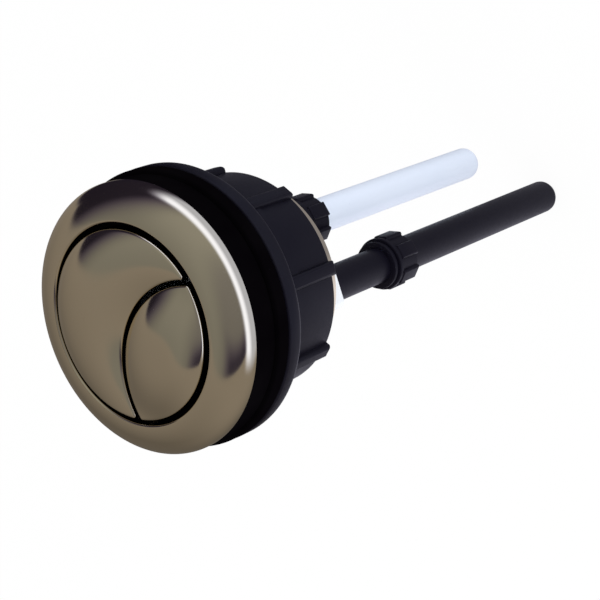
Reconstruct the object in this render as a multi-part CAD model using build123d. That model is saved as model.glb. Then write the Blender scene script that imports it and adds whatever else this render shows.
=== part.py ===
"""Dual-flush push button cistern actuator, in millimetres.

+Z leaves the button face. The origin is on the barrel's axis, at the top of the cistern lid, which the
upper washer rests on. +X points to the full-flush side, -X to the half-flush side.
"""
import math
import os

from build123d import *

# Bezel and barrel
BEZEL_R = 30.0
BEZEL_FACE_W = 8.05
RIM_BAND_H = 0.2
DOME_RISE = 5.4
LIP_R = 0.35
BARREL_WALL = 2.4
BARREL_DROP = 31.5
BARREL_CHAMFER = 0.5
LEDGE_CLEARANCE = 0.4
INSERT_DEPTH = 8.0
SEAT_RING_H = 3.0
SEAT_RING_W = 1.1
CORE_INSET = 2.2
CORE_DEPTH = 1.5

# Rubber washers
UPPER_WASHER_INSET = 0.1
UPPER_WASHER_T = 6.5
LOWER_WASHER_PROUD = 1.0
LOWER_WASHER_T = 3.1
WASHER_EDGE_R = 0.7
UPPER_WASHER_FIT = 0.05
LOWER_WASHER_FIT = 0.4

# Fixing nut
FLANGE_PROUD = 1.1
FLANGE_T = 4.4
FLANGE_EDGE_R = 0.5
FLANGE_BACK_R = 1.4
NUT_H = 23.6
NUT_FIT = 0.3
NUT_WALL = 2.0
NUT_SHOULDER_STEP = 0.5
NUT_SHOULDER_H = 7.8
COVE_R = 2.4
RIB_COUNT = 8
RIB_HEIGHT = 1.5
RIB_W = 3.2
RIB_PHASE = 40.5
RIB_TIP_R = 0.9

# Buttons
BUTTON_GAP = 1.25
BUTTON_TRAVEL = 5.0
CAP_PROUD = 0.35
FULL_CAP_RISE = 1.8
HALF_CAP_RISE = 2.2
PILLOW_SPANS = 12
CAP_SIDE_H = 3.4
CAP_WALL = 1.6
CAP_ROOF = 1.8
CAP_EDGE_R = 0.45
CAP_TIP_EXTRA_R = 0.2
STUD_LENGTH = 4.0
STUD_FIT = 0.05

# Plungers, clips and springs
PLUNGER_WALL = 0.65
PLUNGER_CORNER_R = 1.5
PLUNGER_END_DROP = 42.0
HEAD_CLEARANCE = 0.25
HEAD_LIP = 0.2
HEAD_T = 1.6
CLIP_T = 0.9
CLIP_GROOVE = 1.0
CLIP_FIT = 0.05
CLIP_ARM_W = 1.6
CLIP_TAIL = 5.0
CLIP_GAP = 0.1
WIRE_D = 1.0
SPRING_FIT = 0.26
SPRING_TURNS = 6.5

# Guide insert
INSERT_FIT = 0.1
PLATE_T = 3.0
GUIDE_LENGTH = 15.0
GUIDE_FIT = 0.3
GUIDE_WALL = 1.6
GUIDE_CLEARANCE = 0.79
WEB_T = 2.0
WEB_H = 9.0

# Push rods, lock collars and lock nuts
ROD_LENGTH = 130.0
ROD_TAIL = 72.6
ROD_BORE_FIT = 0.19
ROD_TIP_R = 2.45
ROD_TOP_CHAMFER = 0.6
FULL_ROD_GAP = 11.8
HALF_ROD_GAP = 21.4
COLLAR_WALL = 1.45
COLLAR_H = 1.3
COLLAR_EDGE_R = 0.3
COLLAR_FIT = 0.05
NECK_WALL = 0.65
NECK_SLOTS = 2
NECK_SLOT_W = 0.9
NECK_SETBACK = 1.2
LOCK_NUT_H = 7.6
LOCK_NUT_FIT = 0.2
LOCK_NUT_WALL = 0.65
LOCK_RING_STEP = 0.5
LOCK_RING_H = 1.2
LOCK_LUGS = 6
LOCK_LUG_H = 0.7
LOCK_LUG_W = 3.6
LOCK_EDGE_R = 0.4
LOCK_GAP = 0.2

# Modelling allowances
OVERCUT = 1.0
SAME = 0.001


def corner_reach(across_flats, corner_r):
    """Distance from a rounded square's middle to its corner."""
    return across_flats / math.sqrt(2) - (math.sqrt(2) - 1) * corner_r


# Levels along the axis, worked out from the sizes above
RIM_Z = UPPER_WASHER_T
BAND_Z = RIM_Z + RIM_BAND_H
LIP_Z = BAND_Z + DOME_RISE
CAP_EDGE_Z = LIP_Z + CAP_PROUD
CAP_SKIRT_Z = LIP_Z - CAP_SIDE_H
CAP_CEILING_Z = LIP_Z - CAP_ROOF
LEDGE_Z = CAP_SKIRT_Z - BUTTON_TRAVEL - LEDGE_CLEARANCE
SEAT_Z = -INSERT_DEPTH
HEAD_Z = CAP_CEILING_Z - HEAD_T
GUIDE_END_Z = SEAT_Z - PLATE_T - GUIDE_LENGTH
CLIP_TOP_Z = GUIDE_END_Z - CLIP_GAP
PLUNGER_END_Z = -PLUNGER_END_DROP

# Places across the axis, from the bezel in to the rods and back out to the nut
OPENING_R = BEZEL_R - BEZEL_FACE_W
BUTTON_R = OPENING_R - BUTTON_GAP
DIVIDER_X = -(OPENING_R + BUTTON_R) / 2
PLUNGER_X = -DIVIDER_X / 2
CAP_TIP_R = CAP_EDGE_R + CAP_TIP_EXTRA_R
HEAD_R = BUTTON_R - CAP_WALL - PLUNGER_X - HEAD_CLEARANCE
SPRING_MEAN_R = HEAD_R - HEAD_LIP - WIRE_D / 2
PLUNGER_REACH = SPRING_MEAN_R - WIRE_D / 2 - SPRING_FIT
PLUNGER_AF = math.sqrt(2) * (PLUNGER_REACH + (math.sqrt(2) - 1) * PLUNGER_CORNER_R)
ROD_BORE_R = PLUNGER_AF / 2 - PLUNGER_WALL
ROD_R = ROD_BORE_R - ROD_BORE_FIT
NECK_R = ROD_R + COLLAR_FIT + NECK_WALL
GUIDE_AF = PLUNGER_AF + 2 * GUIDE_FIT
GUIDE_OUTER_AF = GUIDE_AF + 2 * GUIDE_WALL
GUIDE_OUTER_R = PLUNGER_CORNER_R + GUIDE_WALL
BORE_R = PLUNGER_X + corner_reach(GUIDE_OUTER_AF, GUIDE_OUTER_R) + GUIDE_CLEARANCE
BARREL_R = BORE_R + BARREL_WALL
NUT_BORE_R = BARREL_R + NUT_FIT


def turned(*points):
    """Solid turned about Z from the corners of its closed half section, as (radius, height)."""
    return revolve(Plane.XZ * make_face(Polyline(*points, close=True)), Axis.Z)


def tube(outer_r, inner_r, bottom, top):
    """Ring of rectangular section about Z."""
    return turned((inner_r, bottom), (outer_r, bottom), (outer_r, top), (inner_r, top))


def prism(outline, bottom, top):
    """Upright prism of a flat outline between two levels."""
    return extrude(Pos(0, 0, bottom) * outline, top - bottom)


def rims(solid, radius, height):
    """Circular edges about Z of one radius at one level."""
    def is_rim(edge):
        centre = edge.arc_center
        return (abs(edge.radius - radius) < SAME and abs(centre.Z - height) < SAME
                and math.hypot(centre.X, centre.Y) < SAME)
    return [edge for edge in solid.edges().filter_by(GeomType.CIRCLE) if is_rim(edge)]


def square(across_flats, corner_r):
    """Rounded square set cornerwise to the X axis."""
    return Rot(0, 0, 45) * RectangleRounded(across_flats, across_flats, corner_r)


def bezel_body():
    """Bezel, domed as a quarter ellipse, and barrel: one plated moulding, cored from below under the dome."""
    barrel_end = -BARREL_DROP
    seat_r = BORE_R - SEAT_RING_W
    shell = Polyline(
        (OPENING_R, LIP_Z), (OPENING_R, LEDGE_Z), (BORE_R, LEDGE_Z),
        (BORE_R, SEAT_Z + SEAT_RING_H), (seat_r, SEAT_Z + SEAT_RING_H), (seat_r, SEAT_Z), (BORE_R, SEAT_Z),
        (BORE_R, barrel_end), (BARREL_R, barrel_end), (BARREL_R, RIM_Z), (BEZEL_R, RIM_Z), (BEZEL_R, BAND_Z))
    dome = EllipticalCenterArc((OPENING_R, BAND_Z), BEZEL_FACE_W, DOME_RISE, arc_size=90)
    body = revolve(Plane.XZ * make_face([*shell.edges(), dome]), Axis.Z)
    body = fillet(rims(body, OPENING_R, LIP_Z), LIP_R)
    body = chamfer(rims(body, BARREL_R, barrel_end), BARREL_CHAMFER)
    return body - tube(BEZEL_R - CORE_INSET, BARREL_R + CORE_INSET, RIM_Z - OVERCUT, RIM_Z + CORE_DEPTH)


def washer(outer_r, bore_r, bottom, top):
    """Rubber ring with rounded outer corners."""
    ring = tube(outer_r, bore_r, bottom, top)
    return fillet(rims(ring, outer_r, bottom) + rims(ring, outer_r, top), WASHER_EDGE_R)


def fixing_nut():
    """Flanged nut with a shoulder, sunk panels below it and grip ribs down its side."""
    top = -LOWER_WASHER_T
    flange_z = top - FLANGE_T
    shoulder_z = flange_z - NUT_SHOULDER_H
    bottom = top - NUT_H
    flange_r = BEZEL_R + FLANGE_PROUD
    panel_r = NUT_BORE_R + NUT_WALL
    shoulder_r = panel_r + NUT_SHOULDER_STEP
    nut = turned((NUT_BORE_R, top), (flange_r, top), (flange_r, flange_z), (shoulder_r, flange_z),
                 (shoulder_r, shoulder_z), (panel_r, shoulder_z), (panel_r, bottom), (NUT_BORE_R, bottom))
    nut = fillet(rims(nut, shoulder_r, flange_z), COVE_R)
    nut = fillet(rims(nut, flange_r, top), FLANGE_EDGE_R)
    nut = fillet(rims(nut, flange_r, flange_z), FLANGE_BACK_R)
    rib_depth = RIB_HEIGHT + NUT_WALL / 2
    rib_x = panel_r + RIB_HEIGHT - rib_depth / 2
    rib = Pos(rib_x, 0, (flange_z + bottom) / 2) * Box(rib_depth, RIB_W, flange_z - bottom)
    crest_edges = rib.edges().filter_by(Axis.Z).group_by(Axis.X)[-1]
    tip_edge = rib.edges().filter_by(Axis.Y).group_by(Axis.Z)[0].sort_by(Axis.X)[-1]
    rib = fillet([*crest_edges, tip_edge], RIB_TIP_R)
    return nut + [Rot(0, 0, RIB_PHASE + 360 * i / RIB_COUNT) * rib for i in range(RIB_COUNT)]


def lens_outline(inset):
    """Half-flush outline: where the opening's circle and the divider's circle overlap."""
    radius = BUTTON_R - inset
    return Circle(radius) & Pos(DIVIDER_X, 0) * Circle(radius)


def crescent_outline(inset):
    """Full-flush outline: the rest of the opening."""
    return Circle(BUTTON_R - inset) - Pos(DIVIDER_X, 0) * Circle(BUTTON_R + BUTTON_GAP + inset)


def inside(radius, centre_x, x, y):
    """Square of a circle's radius less that of a point's distance from its centre: zero on the circle."""
    return radius ** 2 - (x - centre_x) ** 2 - y ** 2


def lens_room(x, y):
    """Zero all along the half-flush outline, and more towards the middle of it."""
    return inside(BUTTON_R, 0, x, y) * inside(BUTTON_R, DIVIDER_X, x, y)


def crescent_room(x, y):
    """Zero all along the full-flush outline, and more towards the middle of it."""
    return -inside(BUTTON_R, 0, x, y) * inside(BUTTON_R + BUTTON_GAP, DIVIDER_X, x, y)


def spaced(low, high):
    """Even places that pass both ends of a span by the overcut."""
    step = (high - low + 2 * OVERCUT) / PILLOW_SPANS
    return [low - OVERCUT + step * i for i in range(PILLOW_SPANS + 1)]


def pillow(plan, room, peak, rise):
    """Block under a cushion-like surface that comes down to the cap's edge level all along its outline."""
    extent = plan.bounding_box()
    across = spaced(extent.min.Y, extent.max.Y)
    rows = [[(x, y, CAP_EDGE_Z + rise * room(x, y) / peak) for y in across]
            for x in spaced(extent.min.X, extent.max.X)]
    depth = CAP_SIDE_H + CAP_PROUD + rise + OVERCUT
    return extrude(Face.make_surface_from_array_of_points(rows), depth, dir=(0, 0, -1))


def cap(outline, room, plunger_x, rise):
    """Button cap: cushioned top with a crisp edge, hollow below, with a stud for its plunger."""
    plan = outline(0)
    block = pillow(plan, room, room(plunger_x, 0), rise)
    plan = fillet(plan.vertices(), CAP_TIP_R)
    body = prism(plan, CAP_SKIRT_Z, CAP_EDGE_Z + rise + OVERCUT) & block
    top = body.faces().sort_by(Axis.Z)[-1]
    body = fillet(top.edges(), CAP_EDGE_R)
    body -= prism(outline(CAP_WALL), CAP_SKIRT_Z - OVERCUT, CAP_CEILING_Z)
    stud = Cylinder(ROD_BORE_R - STUD_FIT, STUD_LENGTH + OVERCUT, align=(Align.CENTER, Align.CENTER, Align.MIN))
    return body + Pos(plunger_x, 0, CAP_CEILING_Z - STUD_LENGTH) * stud


def plunger(x):
    """Square plunger under a cap: round head, rod bore from end to end, clip grooves in two corners."""
    body = prism(square(PLUNGER_AF, PLUNGER_CORNER_R), PLUNGER_END_Z, HEAD_Z)
    body += prism(Circle(HEAD_R), HEAD_Z, CAP_CEILING_Z)
    body -= prism(Circle(ROD_BORE_R), PLUNGER_END_Z - OVERCUT, CAP_CEILING_Z + OVERCUT)
    groove = Box(2 * CLIP_GROOVE, 2 * PLUNGER_REACH, CLIP_T + 2 * CLIP_FIT)
    for side in (1, -1):
        body -= Pos(side * PLUNGER_REACH, 0, CLIP_TOP_Z - CLIP_T / 2) * groove
    return Pos(x, 0, 0) * body


def retaining_clip(x):
    """U-shaped clip pushed across the plunger into its two grooves, under the guide."""
    slot_w = 2 * (PLUNGER_REACH - CLIP_GROOVE + CLIP_FIT)
    slot_end = -PLUNGER_REACH - CLIP_FIT
    back = slot_end - CLIP_ARM_W
    plate = Pos(0, (CLIP_TAIL + back) / 2) * RectangleRounded(
        slot_w + 2 * CLIP_ARM_W, CLIP_TAIL - back, CLIP_ARM_W / 2)
    slot_length = CLIP_TAIL - slot_end + OVERCUT
    plate -= Pos(0, slot_end + slot_length / 2) * Rectangle(slot_w, slot_length)
    return Pos(x, 0, 0) * prism(plate, CLIP_TOP_Z - CLIP_T, CLIP_TOP_Z)


def return_spring(x):
    """Compression spring between guide plate and plunger head, its ends ground flat."""
    height = HEAD_Z - SEAT_Z
    coil = Helix(height / SPRING_TURNS, height, SPRING_MEAN_R)
    wire = sweep(Plane(coil @ 0, z_dir=coil % 0) * Circle(WIRE_D / 2), path=coil, is_frenet=True)
    block_w = 2 * (SPRING_MEAN_R + WIRE_D)
    return Pos(x, 0, SEAT_Z) * (wire & prism(Rectangle(block_w, block_w), 0, height))


def guide_insert():
    """Disc bonded under the barrel's ring, with a square guide for each plunger and a web between them."""
    plate_z = SEAT_Z - PLATE_T
    body = prism(Circle(BORE_R - INSERT_FIT), plate_z, SEAT_Z)
    body += Pos(0, 0, plate_z - WEB_H / 2) * Box(2 * PLUNGER_X, WEB_T, WEB_H)
    for x in (PLUNGER_X, -PLUNGER_X):
        body += Pos(x, 0, 0) * prism(square(GUIDE_OUTER_AF, GUIDE_OUTER_R), GUIDE_END_Z, plate_z)
    hole = prism(square(GUIDE_AF, PLUNGER_CORNER_R), GUIDE_END_Z - OVERCUT, SEAT_Z + OVERCUT)
    for x in (PLUNGER_X, -PLUNGER_X):
        body -= Pos(x, 0, 0) * hole
    return body


def push_rod(x, lock_z):
    """Plain rod with a rounded free end, held where its lock nut ends."""
    tip_z = lock_z - ROD_TAIL
    rod = Pos(x, 0, tip_z + ROD_LENGTH / 2) * Cylinder(ROD_R, ROD_LENGTH)
    rod = fillet(rod.edges().filter_by(GeomType.CIRCLE).sort_by(Axis.Z)[0], ROD_TIP_R)
    return chamfer(rod.edges().filter_by(GeomType.CIRCLE).sort_by(Axis.Z)[-1], ROD_TOP_CHAMFER)


def lock_collar(x, lock_z):
    """Thin flange with a slotted neck that the lock nut closes on the rod."""
    shoulder_z = lock_z + LOCK_NUT_H + LOCK_GAP
    top_z = shoulder_z + COLLAR_H
    neck_z = lock_z + NECK_SETBACK
    bore_r = ROD_R + COLLAR_FIT
    collar_r = ROD_R + COLLAR_WALL
    body = turned((bore_r, neck_z), (NECK_R, neck_z), (NECK_R, shoulder_z), (collar_r, shoulder_z),
                  (collar_r, top_z), (bore_r, top_z))
    body = fillet(rims(body, collar_r, top_z) + rims(body, collar_r, shoulder_z), COLLAR_EDGE_R)
    slot_h = shoulder_z - neck_z
    slot = Pos(0, 0, neck_z + slot_h / 2 - OVERCUT) * Box(2 * collar_r, NECK_SLOT_W, slot_h)
    for i in range(NECK_SLOTS):
        body -= Rot(0, 0, 180 * i / NECK_SLOTS) * slot
    return Pos(x, 0, 0) * body


def lock_nut(x, lock_z):
    """Small nut with a front ring and grip lugs behind it."""
    top = lock_z + LOCK_NUT_H
    ring_z = top - LOCK_RING_H
    bore_r = NECK_R + LOCK_NUT_FIT
    valley_r = bore_r + LOCK_NUT_WALL
    ring_r = valley_r + LOCK_RING_STEP
    lug_r = valley_r + LOCK_LUG_H
    body = turned((bore_r, lock_z), (valley_r, lock_z), (valley_r, ring_z), (ring_r, ring_z),
                  (ring_r, top), (bore_r, top))
    body = fillet(rims(body, ring_r, top), LOCK_EDGE_R)
    lug = tube(lug_r, bore_r + LOCK_NUT_WALL / 2, lock_z, ring_z)
    lug &= Pos(lug_r, 0, (lock_z + ring_z) / 2) * Box(lug_r, LOCK_LUG_W, ring_z - lock_z)
    lug = fillet(lug.edges().filter_by(Axis.Z).group_by(Axis.X)[-1], LOCK_EDGE_R)
    body += [Rot(0, 0, 360 * i / LOCK_LUGS) * lug for i in range(LOCK_LUGS)]
    return Pos(x, 0, 0) * body


def button_train(side, x, outline, room, rise, rod_gap):
    """Every piece that one button works, named by its flush."""
    lock_z = PLUNGER_END_Z - rod_gap - COLLAR_H - LOCK_GAP - LOCK_NUT_H
    return {
        side + "_cap": cap(outline, room, x, rise),
        side + "_plunger": plunger(x),
        side + "_retaining_clip": retaining_clip(x),
        side + "_return_spring": return_spring(x),
        side + "_push_rod": push_rod(x, lock_z),
        side + "_lock_collar": lock_collar(x, lock_z),
        side + "_lock_nut": lock_nut(x, lock_z),
    }


def build():
    """All nodes of the actuator by name."""
    nodes = {
        "bezel_body": bezel_body(),
        "upper_washer": washer(BEZEL_R - UPPER_WASHER_INSET, BARREL_R + UPPER_WASHER_FIT, 0, UPPER_WASHER_T),
        "lower_washer": washer(BEZEL_R + LOWER_WASHER_PROUD, BARREL_R + LOWER_WASHER_FIT, -LOWER_WASHER_T, 0),
        "fixing_nut": fixing_nut(),
        "guide_insert": guide_insert(),
    }
    nodes.update(button_train(
        "full_flush", PLUNGER_X, crescent_outline, crescent_room, FULL_CAP_RISE, FULL_ROD_GAP))
    nodes.update(button_train(
        "half_flush", -PLUNGER_X, lens_outline, lens_room, HALF_CAP_RISE, HALF_ROD_GAP))
    return nodes


os.makedirs("parts", exist_ok=True)
for name, solid in build().items():
    export_step(solid, f"parts/{name}.step")
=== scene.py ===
"""Looks of the dual-flush push button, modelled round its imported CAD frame.

Metres throughout. +Z leaves the button face, +X points to the full-flush crescent.
"""
import math

import bpy
from mathutils import Matrix, Vector


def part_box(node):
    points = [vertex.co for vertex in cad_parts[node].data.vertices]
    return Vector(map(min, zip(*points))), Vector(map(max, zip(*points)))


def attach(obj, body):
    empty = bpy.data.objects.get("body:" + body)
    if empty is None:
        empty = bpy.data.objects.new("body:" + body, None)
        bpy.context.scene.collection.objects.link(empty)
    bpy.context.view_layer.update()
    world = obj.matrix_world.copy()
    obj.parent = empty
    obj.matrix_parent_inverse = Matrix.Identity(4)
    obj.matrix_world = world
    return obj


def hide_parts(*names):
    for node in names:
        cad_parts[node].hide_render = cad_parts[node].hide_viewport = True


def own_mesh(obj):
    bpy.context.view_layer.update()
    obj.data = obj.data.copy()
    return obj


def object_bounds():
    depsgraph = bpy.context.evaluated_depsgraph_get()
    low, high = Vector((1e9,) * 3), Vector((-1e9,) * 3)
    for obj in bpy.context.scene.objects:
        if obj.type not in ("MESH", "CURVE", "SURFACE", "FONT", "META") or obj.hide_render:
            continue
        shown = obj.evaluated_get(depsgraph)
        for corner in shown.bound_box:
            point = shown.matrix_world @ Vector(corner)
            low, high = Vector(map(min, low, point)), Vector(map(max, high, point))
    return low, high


bl_info = {
    "name": "Dual-flush push button",
    "version": (1, 0, 0),
    "blender": (4, 5, 0),
    "location": "View3D > Sidebar > Push Button",
    "description": "Models and finishes a round dual-flush cistern push button",
    "category": "Object",
}

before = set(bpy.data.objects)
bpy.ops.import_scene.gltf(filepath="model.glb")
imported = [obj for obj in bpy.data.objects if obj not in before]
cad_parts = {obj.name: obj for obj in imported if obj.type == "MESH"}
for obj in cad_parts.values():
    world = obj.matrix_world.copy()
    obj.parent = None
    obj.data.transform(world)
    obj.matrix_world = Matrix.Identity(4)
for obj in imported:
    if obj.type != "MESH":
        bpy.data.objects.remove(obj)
cad_low, cad_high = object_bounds()

SIDES = ("full_flush", "half_flush")
# Steps round a turned piece, round a small one, in a rounding, up the dome and in one turn of a coil
TURN_STEPS = 192
SMALL_TURN_STEPS = 96
ROUND_STEPS = 5
DOME_STEPS = 30
COIL_STEPS = 48
# Distance within which points merge, and the angle up to which an edge is shaded smooth
MERGE = 0.000002
SMOOTH_ANGLE = math.radians(32)
# Share of an edge's direction above which it counts as running along an axis
MOSTLY = 0.5
# Start of the name of every finish
FINISH = "finish_"
# Detail and share of the two noises in a finish, and the span in which their values lie
CLOUD_DETAIL = 3
GRAIN_DETAIL = 2
CLOUD_SHARE = 0.65
GRAIN_SHARE = 0.35
NOISE_SPAN = (0.3, 0.7)
# Sockets of a Mix node that mixes colours
MIX_AMOUNT, MIX_FIRST, MIX_SECOND, MIX_RESULT = 0, 6, 7, 2


def low(node):
    """Lowest corner of a CAD node."""
    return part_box(node)[0]


def high(node):
    """Highest corner of a CAD node."""
    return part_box(node)[1]


def middle_x(node):
    """Middle of a CAD node across X."""
    return (low(node).x + high(node).x) / 2


def radius_of(node):
    """Half of a CAD node's width across X."""
    return (high(node).x - low(node).x) / 2


def length(name, default, description):
    """A size in metres that the sidebar shows."""
    return bpy.props.FloatProperty(
        name=name, description=description, default=default, unit="LENGTH", precision=5)


def share(name, default, description):
    """A share of one that the sidebar shows."""
    return bpy.props.FloatProperty(
        name=name, description=description, default=default, subtype="FACTOR", min=0, max=1)


def colour(name, default, description):
    """A linear colour that the sidebar shows."""
    return bpy.props.FloatVectorProperty(
        name=name, description=description, default=default, subtype="COLOR", size=3, min=0, max=1)


class ButtonSizes(bpy.types.PropertyGroup):
    """Sizes of the bezel, its barrel and the two caps."""
    bezel_r: length("Bezel radius", high("bezel_body").x, "Outside of the bezel")
    face_w: length("Face width", 0.00805, "From the bezel's outside in to its opening")
    band_h: length("Rim band", 0.0002, "Straight band round the bezel's foot")
    dome_rise: length("Dome rise", 0.0054, "From the rim band up to the lip, as a quarter ellipse")
    lip_r: length("Lip edge", 0.00065, "Rounding at the opening")
    end_r: length("Barrel end", 0.00035, "Chamfer round the barrel's free end")
    bore_step: length("Bore step", 0.00175, "From the opening in to the barrel's bore")
    ledge_drop: length("Ledge drop", 0.0088, "From the lip down to the bore's ledge")
    barrel_wall: length("Barrel wall", 0.0024, "Barrel wall over the thread")
    seat_h: length("Seat ring height", 0.003, "Height of the ring over the guide insert")
    seat_w: length("Seat ring width", 0.0011, "How far that ring stands into the bore")
    core_inset: length("Core inset", 0.0022, "Wall left on both sides of the core")
    core_depth: length("Core depth", 0.0015, "Depth of the core under the dome")
    thread_pitch: length("Thread pitch", 0.003, "Barrel thread, crest to crest")
    thread_depth: length("Thread depth", 0.00075, "Barrel thread, root to crest")
    thread_root_w: length("Thread root", 0.0019, "Width of the ridge at its root")
    thread_land_w: length("Thread land", 0.0007, "Width of the ridge at its crest")
    gap: length("Cap gap", 0.00112, "Gap round each cap")
    proud: length("Cap edge", 0.00035, "Height of the cap's edge over the lip")
    full_rise: length("Crescent rise", 0.00205, "Height of the crescent's middle over its edge")
    half_rise: length("Lens rise", 0.0022, "Height of the lens's middle over its edge")
    full_swell: share("Crescent swell", 0.35, "How much steeper the crescent is along its edge")
    half_swell: share("Lens swell", 0.9, "How much steeper the lens is along its edge")
    # Painted shade in the gap round the caps: depths below the lip where it starts on the caps' sides and
    # on the bezel's wall, and the depth over which it comes in
    cap_shade_depth: length("Shaded cap side", 0.0001, "Depth below the lip at which the caps' painted shade begins")
    wall_shade_depth: length("Shaded wall", 0.0009, "Depth below the lip at which the bezel's painted shade begins")
    gap_shade_blur: length("Painted shade's blur", 0.0003, "Depth over which painted shade comes in")
    cap_side_h: length("Cap side", 0.0034, "Cap's side below the lip")
    cap_wall: length("Cap wall", 0.0016, "Thickness of the cap's side")
    cap_roof: length("Cap roof", 0.0018, "Cap's ceiling below the lip")
    cap_edge_r: length("Cap edge rounding", 0.00045, "Rounding along the cap's edge")
    cap_tip_r: length("Cap tip", 0.00065, "Rounding of the cap's pointed ends, seen from above")
    stud_l: length("Stud", 0.004, "Stud under the cap, inside its plunger")


class FixingSizes(bpy.types.PropertyGroup):
    """Sizes of the washers, nut, rods, lock collars, lock nuts and springs."""
    washer_edge_r: length("Washer edge", 0.0007, "Rounding of the washers' outer corners")
    upper_washer_fit: length("Upper washer fit", 0.00005, "Clearance between upper washer and barrel")
    lower_washer_fit: length("Lower washer fit", 0.0004, "Clearance between lower washer and barrel")
    flange_t: length("Flange", 0.0044, "Thickness of the nut's flange")
    flange_edge_r: length("Flange edge", 0.0005, "Rounding of the flange's front")
    flange_back_r: length("Flange back", 0.0014, "Rounding of the flange's back")
    shoulder_h: length("Shoulder", 0.0078, "Length of the nut's shoulder below the flange")
    shoulder_step: length("Shoulder step", 0.0005, "From the shoulder in to the panels")
    nut_wall: length("Nut wall", 0.002, "Wall of the nut behind its panels")
    nut_fit: length("Nut fit", 0.0003, "Running clearance round the barrel")
    cove_r: length("Cove", 0.0024, "Cove between flange and shoulder")
    rib_h: length("Rib height", 0.0015, "Ribs over the panels")
    rib_w: length("Rib width", 0.0032, "Width of a rib")
    rib_tip_r: length("Rib rounding", 0.0009, "Rounding of a rib's crest and end")
    rod_tip_r: length("Rod tip", 0.00245, "Rounding of a rod's free end")
    rod_chamfer: length("Rod top", 0.0006, "Chamfer on a rod's hidden end")
    collar_h: length("Collar", 0.0013, "Thickness of the round collar")
    collar_edge_r: length("Collar edge", 0.0003, "Rounding of the collar")
    neck_wall: length("Neck wall", 0.00065, "Wall of the collar's slotted neck")
    neck_fit: length("Neck fit", 0.00005, "Clearance between neck and rod")
    slot_w: length("Neck slot", 0.0009, "Width of the neck's slots")
    lock_fit: length("Lock nut fit", 0.0002, "Clearance between lock nut and neck")
    lock_wall: length("Lock nut wall", 0.00065, "Lock nut wall between its lugs")
    lock_ring_h: length("Lock nut ring", 0.0012, "Length of the lock nut's front ring")
    lock_ring_step: length("Ring step", 0.0005, "Front ring over the wall")
    lug_h: length("Lug height", 0.0007, "Lugs over the wall")
    lug_w: length("Lug width", 0.0036, "Width of a lug")
    lug_edge_r: length("Lug edge", 0.0004, "Rounding of lugs and front ring")
    wire_d: length("Spring wire", 0.001, "Diameter of the spring wire")
    rib_count: bpy.props.IntProperty(name="Ribs", description="Ribs round the nut", default=8, min=1)
    rib_phase: bpy.props.FloatProperty(
        name="First rib", description="Angle of the first rib", default=math.radians(40.5), subtype="ANGLE")
    lug_count: bpy.props.IntProperty(name="Lugs", description="Lugs round a lock nut", default=6, min=1)
    turns: bpy.props.FloatProperty(name="Turns", description="Turns of a return spring", default=6.5, min=1)


class ButtonColours(bpy.types.PropertyGroup):
    """Colours of the finishes, as they look under plain light."""
    plating: colour("Champagne plating", (0.84, 0.75, 0.56), "Satin plate on bezel, barrel and caps")
    # Dark colour painted as shade down in the gap round the caps
    base: colour("Painted gap shade", (0.006, 0.005, 0.007), "Shade painted down in the gap round the caps")
    rubber: colour("Rubber", (0.0014, 0.001, 0.0016), "Both washers")
    black: colour("Black plastic", (0.0045, 0.0038, 0.0088), "Nut, lock pieces and half-flush rod")
    white: colour("White plastic", (0.80, 0.83, 0.88), "Plungers and guide insert")
    rod: colour("White rod", (0.75, 0.83, 0.98), "Full-flush rod")
    steel: colour("Spring steel", (0.55, 0.55, 0.56), "Springs and clips")


def sizes():
    """The scene's two size groups."""
    return bpy.context.scene.button_sizes, bpy.context.scene.fixing_sizes


def opening_r():
    """Radius of the bezel's opening."""
    size = sizes()[0]
    return size.bezel_r - size.face_w


def barrel_r():
    """Radius of the barrel over its thread."""
    size = sizes()[0]
    return opening_r() - size.bore_step + size.barrel_wall


def lip_level():
    """Height of the bezel's lip."""
    size = sizes()[0]
    return high("upper_washer").z + size.band_h + size.dome_rise


def deselect():
    """Leaves nothing selected, so that an operator acts only on what comes next."""
    if bpy.context.mode != "OBJECT":
        bpy.ops.object.mode_set(mode="OBJECT")
    bpy.ops.object.select_all(action="DESELECT")


def only(piece):
    """Makes one piece the selected and active one."""
    deselect()
    piece.select_set(True)
    bpy.context.view_layer.objects.active = piece


def clean(piece):
    """Merges what coincides and points all faces outwards."""
    only(piece)
    bpy.ops.object.mode_set(mode="EDIT")
    bpy.ops.mesh.select_all(action="SELECT")
    bpy.ops.mesh.remove_doubles(threshold=MERGE)
    bpy.ops.mesh.dissolve_degenerate(threshold=MERGE)
    bpy.ops.mesh.delete_loose()
    bpy.ops.mesh.select_all(action="SELECT")
    bpy.ops.mesh.normals_make_consistent(inside=False)
    bpy.ops.object.mode_set(mode="OBJECT")


def smooth(piece):
    """Smooth shading that keeps the hard edges."""
    only(piece)
    bpy.ops.object.shade_smooth_by_angle(angle=SMOOTH_ANGLE)


def arc_between(start, end, centre, steps):
    """Points of the shorter arc about a centre, both ends included."""
    first, last = start - centre, end - centre
    sweep = first.angle(last)
    points = []
    for i in range(steps + 1):
        turn = i / steps
        reach = first * math.sin((1 - turn) * sweep) + last * math.sin(turn * sweep)
        points.append(centre + reach / math.sin(sweep))
    return points


def rounded(corners):
    """Closed section from corners, each a radius, a height and, where it is rounded, its rounding."""
    section = []
    for i, corner in enumerate(corners):
        here = Vector(corner[:2])
        if len(corner) == 2:
            section.append(here)
            continue
        to_last = (Vector(corners[i - 1][:2]) - here).normalized()
        to_next = (Vector(corners[(i + 1) % len(corners)][:2]) - here).normalized()
        half = to_last.angle(to_next) / 2
        reach = corner[2] / math.tan(half)
        centre = here + (to_last + to_next).normalized() * corner[2] / math.sin(half)
        section += arc_between(here + to_last * reach, here + to_next * reach, centre, ROUND_STEPS)
    return section


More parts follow.
